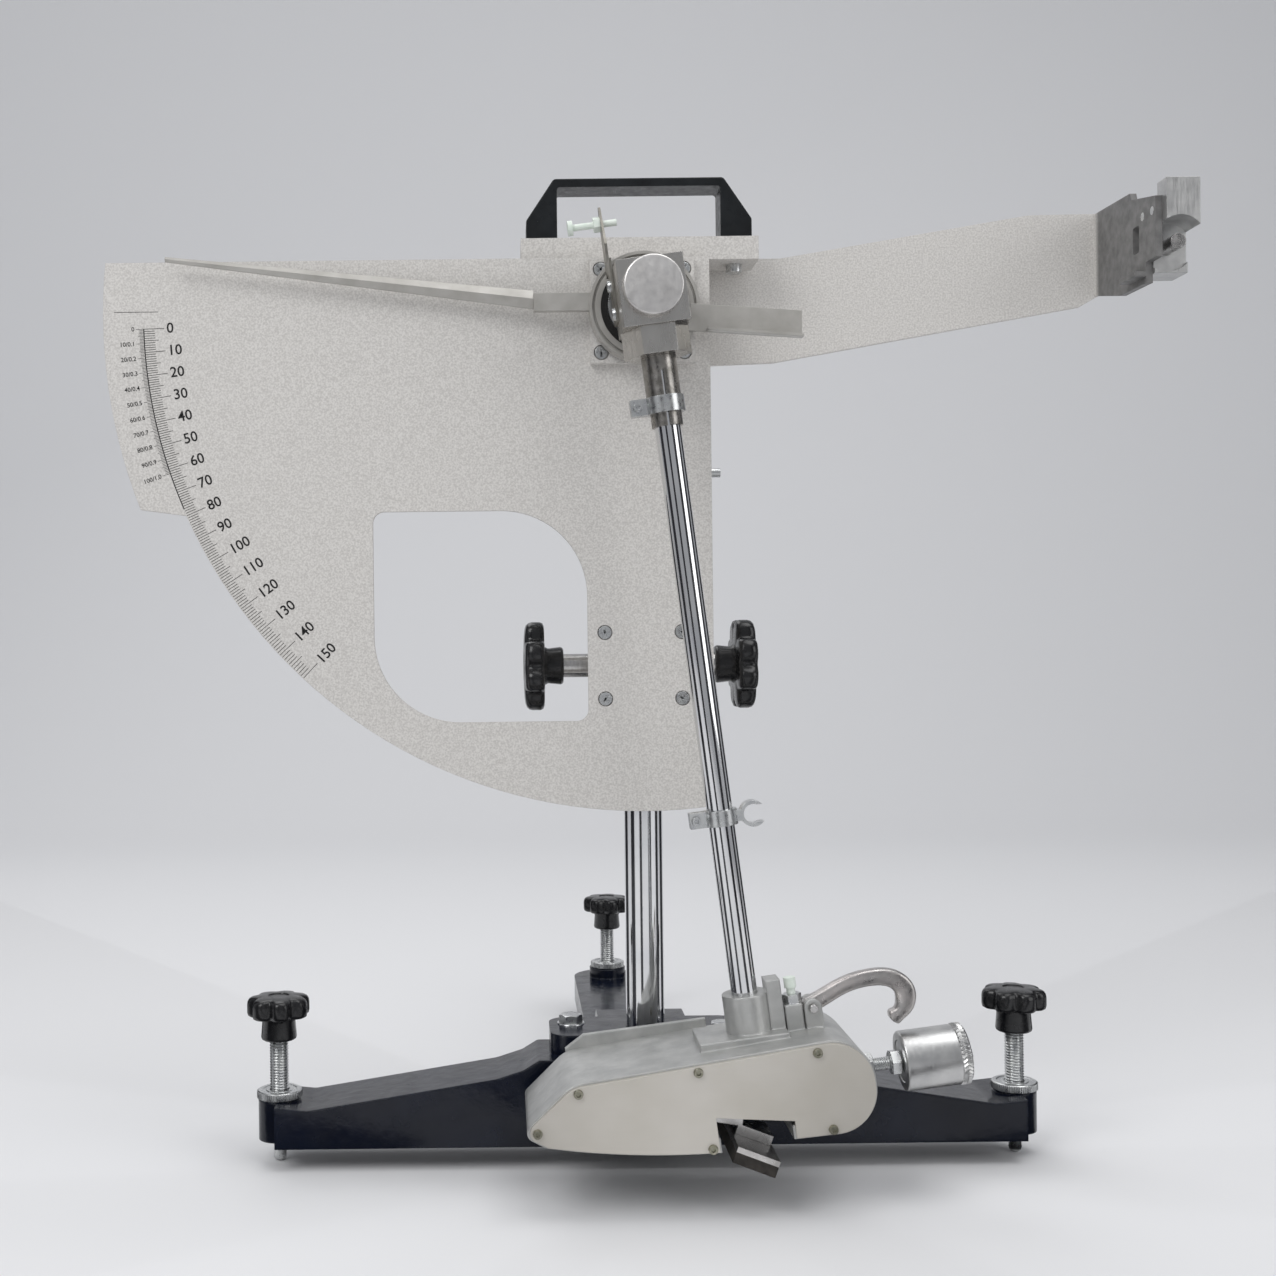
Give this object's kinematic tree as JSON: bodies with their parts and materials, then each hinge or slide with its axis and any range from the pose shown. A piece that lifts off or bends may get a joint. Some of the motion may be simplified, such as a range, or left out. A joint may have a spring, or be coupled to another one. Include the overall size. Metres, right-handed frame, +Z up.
{
  "type": "pendulum skid resistance tester",
  "caption": "Bench pendulum tester that swings a rubber slider over a floor; a pointer on a quadrant scale shows the skid resistance.",
  "frame": {"origin": "point of the bench straight below the column's axis, at the level of the tips of the levelling screws", "axes": "+X along the front beam towards the catch, +Y to the back along the rear arm, +Z up the column"},
  "size_m": [0.6519, 0.5095, 0.6149],
  "materials": {
    "base_paint": "gloss",
    "plate_paint": "sand textured paint",
    "cover_paint": "satin paint",
    "cast_silver": "satin",
    "head_paint": "satin paint",
    "chrome": "polished",
    "steel": "satin",
    "black_knob": "satin",
    "nylon": "matt",
    "felt": "matt",
    "rubber": "matt",
    "bright_aluminium": "satin",
    "brass": "satin",
    "bubble": "satin"
  },
  "bodies": {
    "base": {"base_beam": "base_paint", "rear_arm": "base_paint", "base_bolts": "steel", "column": "chrome", "spirit_level": "bubble"},
    "head": {"head_casting": "head_paint", "head_top_bar": "head_paint", "carry_handle": "black_knob", "head_bolts": "steel", "scale_plate": "plate_paint", "plate_screws": "steel", "bearing_flange": "plate_paint", "spindle_bearings": "steel", "felt_washers": "felt", "friction_nut": "steel", "catch_arm": "plate_paint", "catch_block": "head_paint", "elevation_bushes": "brass"},
    "elevation_gear": {"elevation_shaft": "steel", "elevation_pinion": "steel", "left_elevation_knob": "black_knob", "right_elevation_knob": "black_knob"},
    "head_lock": {"head_lock_screw": "steel"},
    "pointer": {"pointer_ring": "cast_silver", "pointer_blade": "cast_silver", "pointer_tail": "cast_silver"},
    "plunger": {"release_plunger": "steel", "plunger_spring": "steel"},
    "pendulum": {"pendulum_spindle": "steel", "pendulum_head": "chrome", "head_cap": "chrome", "union_nut": "chrome", "tube_sleeve": "chrome", "sleeve_clamp": "chrome", "pendulum_tube": "chrome", "catch_clip": "chrome", "driver_arm": "steel", "adjusting_screws": "nylon", "pendulum_screws": "brass", "foot_casting": "cast_silver", "foot_front_cover": "cover_paint", "foot_rear_cover": "cover_paint", "balance_rod": "steel", "slider_pivot_pin": "steel", "slider_spring": "steel"},
    "slider": {"slider_rubber": "rubber", "slider_backing_plate": "bright_aluminium", "slider_arm": "steel"},
    "lever": {"lifting_lever": "steel"},
    "weight": {"balance_weight": "chrome"},
    "left_stud": {"left_levelling_screw": "chrome"},
    "left_knob": {"left_levelling_knob": "black_knob"},
    "left_ring": {"left_lock_ring": "chrome"},
    "right_stud": {"right_levelling_screw": "chrome"},
    "right_knob": {"right_levelling_knob": "black_knob"},
    "right_ring": {"right_lock_ring": "chrome"},
    "rear_stud": {"rear_levelling_screw": "chrome"},
    "rear_knob": {"rear_levelling_knob": "black_knob"},
    "rear_ring": {"rear_lock_ring": "chrome"}
  },
  "joints": [
    {"name": "head_lift", "type": "slide", "parent": "base", "child": "head", "axis": [0, 0, 1], "range_m": [-0.02, 0.03]},
    {"name": "elevation_turn", "type": "hinge", "parent": "head", "child": "elevation_gear", "pos_m": [0, 0.0185, 0.31], "axis": [1, 0, 0], "range_deg": [-132, 198]},
    {"name": "head_lock_turn", "type": "hinge", "parent": "head", "child": "head_lock", "pos_m": [0, 0.0245, 0.4345], "axis": [1, 0, 0], "range_deg": [0, 180]},
    {"name": "pointer_turn", "type": "hinge", "parent": "head", "child": "pointer", "pos_m": [0, -0.0435, 0.5285], "axis": [0, -1, 0], "range_deg": [-8, 75]},
    {"name": "plunger_press", "type": "slide", "parent": "head", "child": "plunger", "axis": [0, 1, 0], "range_m": [0, 0.016], "stiffness_N_per_m": 200, "springref_m": -0.01},
    {"name": "pendulum_swing", "type": "hinge", "parent": "head", "child": "pendulum", "pos_m": [0, -0.0815, 0.5285], "axis": [0, -1, 0], "range_deg": [-97, 84.4]},
    {"name": "slider_lift", "type": "hinge", "parent": "pendulum", "child": "slider", "pos_m": [-0.00533, -0.0815, 0.05829], "axis": [0, -1, 0], "range_deg": [0, 7], "stiffness_Nm_per_rad": 1.5, "springref_deg": -11.46},
    {"name": "lever_lift", "type": "hinge", "parent": "pendulum", "child": "lever", "pos_m": [0.08932, -0.0815, 0.11181], "axis": [0, -1, 0], "range_deg": [0, 12]},
    {"name": "weight_turn", "type": "hinge", "parent": "pendulum", "child": "weight", "pos_m": [0.16016, -0.0815, 0.08077], "axis": [0.9924, 0, 0.1227], "range_deg": [-180, 180]},
    {"name": "left_stud_travel", "type": "slide", "parent": "base", "child": "left_stud", "axis": [0, 0, 1], "range_m": [-0.006, 0.006]},
    {"name": "left_knob_turn", "type": "hinge", "parent": "left_stud", "child": "left_knob", "pos_m": [-0.2325, -0.0061, 0.09], "axis": [0, 0, 1], "range_deg": [-1240, 1240]},
    {"name": "left_ring_turn", "type": "hinge", "parent": "base", "child": "left_ring", "pos_m": [-0.2325, -0.0061, 0.042], "axis": [0, 0, 1], "range_deg": [-180, 180]},
    {"name": "right_stud_travel", "type": "slide", "parent": "base", "child": "right_stud", "axis": [0, 0, 1], "range_m": [-0.006, 0.006]},
    {"name": "right_knob_turn", "type": "hinge", "parent": "right_stud", "child": "right_knob", "pos_m": [0.2325, -0.0061, 0.09], "axis": [0, 0, 1], "range_deg": [-1240, 1240]},
    {"name": "right_ring_turn", "type": "hinge", "parent": "base", "child": "right_ring", "pos_m": [0.2325, -0.0061, 0.042], "axis": [0, 0, 1], "range_deg": [-180, 180]},
    {"name": "rear_stud_travel", "type": "slide", "parent": "base", "child": "rear_stud", "axis": [0, 0, 1], "range_m": [-0.006, 0.006]},
    {"name": "rear_knob_turn", "type": "hinge", "parent": "rear_stud", "child": "rear_knob", "pos_m": [0, 0.357, 0.09], "axis": [0, 0, 1], "range_deg": [-1240, 1240]},
    {"name": "rear_ring_turn", "type": "hinge", "parent": "base", "child": "rear_ring", "pos_m": [0, 0.357, 0.042], "axis": [0, 0, 1], "range_deg": [-180, 180]}
  ],
  "couplings": [
    {"joint": "elevation_turn", "follows": "head_lift", "rad_per_m": 114.29},
    {"joint": "lever_lift", "follows": "slider_lift", "ratio": 1.7},
    {"joint": "left_knob_turn", "follows": "left_stud_travel", "rad_per_m": -3590.4},
    {"joint": "right_knob_turn", "follows": "right_stud_travel", "rad_per_m": -3590.4},
    {"joint": "rear_knob_turn", "follows": "rear_stud_travel", "rad_per_m": -3590.4}
  ]
}
